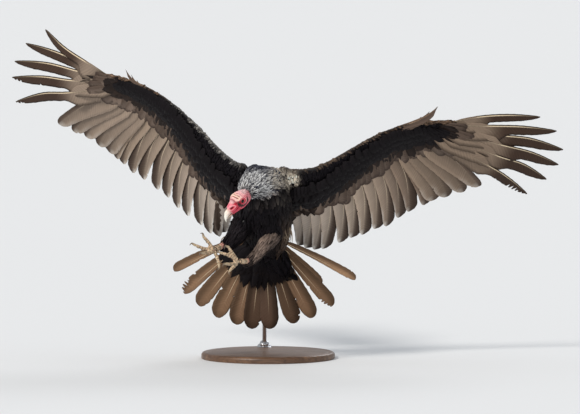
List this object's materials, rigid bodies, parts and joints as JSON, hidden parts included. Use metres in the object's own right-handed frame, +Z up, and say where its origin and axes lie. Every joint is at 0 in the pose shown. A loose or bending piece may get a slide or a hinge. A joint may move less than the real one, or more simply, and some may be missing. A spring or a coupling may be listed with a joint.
{
  "type": "turkey vulture",
  "caption": "Life-size vulture alighting with raised, spread wings, fanned tail and legs thrust forward, held by a rod on a round display base.",
  "frame": {"origin": "centre of the stand base's underside", "axes": "+Z up; the bird flies towards -Y with its left wing on the +X side, and the span runs along X"},
  "size_m": [1.5325, 0.6302, 0.9033],
  "materials": {
    "plumage": "black-brown feathers with a faint blue sheen",
    "flight_feathers": "grey-brown vanes, silvery below, dark at the tips",
    "bare_skin": "bare wrinkled red skin",
    "bill": "ivory horn",
    "eye": "dark brown, wet",
    "scaly_skin": "pale horny scales",
    "claws": "dark horn",
    "stand_wood": "dark satin wood",
    "stand_steel": "satin steel rod and collar"
  },
  "bodies": {
    "root": {"bill_lower": "bill", "bill_upper": "bill", "claw_left_1": "claws", "claw_left_2": "claws", "claw_left_3": "claws", "claw_left_4": "claws", "claw_right_1": "claws", "claw_right_2": "claws", "claw_right_3": "claws", "claw_right_4": "claws", "eye_left": "eye", "eye_right": "eye", "head": "bare_skin", "leg_left_shank": "scaly_skin", "leg_left_thigh": "plumage", "leg_right_shank": "scaly_skin", "leg_right_thigh": "plumage", "neck": "plumage", "stand_base": "stand_wood", "stand_collar": "stand_steel", "stand_rod": "stand_steel", "tail_coverts": "plumage", "tail_feathers": "flight_feathers", "toe_left_1": "scaly_skin", "toe_left_2": "scaly_skin", "toe_left_3": "scaly_skin", "toe_left_4": "scaly_skin", "toe_right_1": "scaly_skin", "toe_right_2": "scaly_skin", "toe_right_3": "scaly_skin", "toe_right_4": "scaly_skin", "trunk": "plumage", "wing_left_alula": "flight_feathers", "wing_left_forearm": "plumage", "wing_left_hand": "plumage", "wing_left_primaries": "flight_feathers", "wing_left_secondaries": "flight_feathers", "wing_left_upper_arm": "plumage", "wing_right_alula": "flight_feathers", "wing_right_forearm": "plumage", "wing_right_hand": "plumage", "wing_right_primaries": "flight_feathers", "wing_right_secondaries": "flight_feathers", "wing_right_upper_arm": "plumage"}
  },
  "joints": []
}
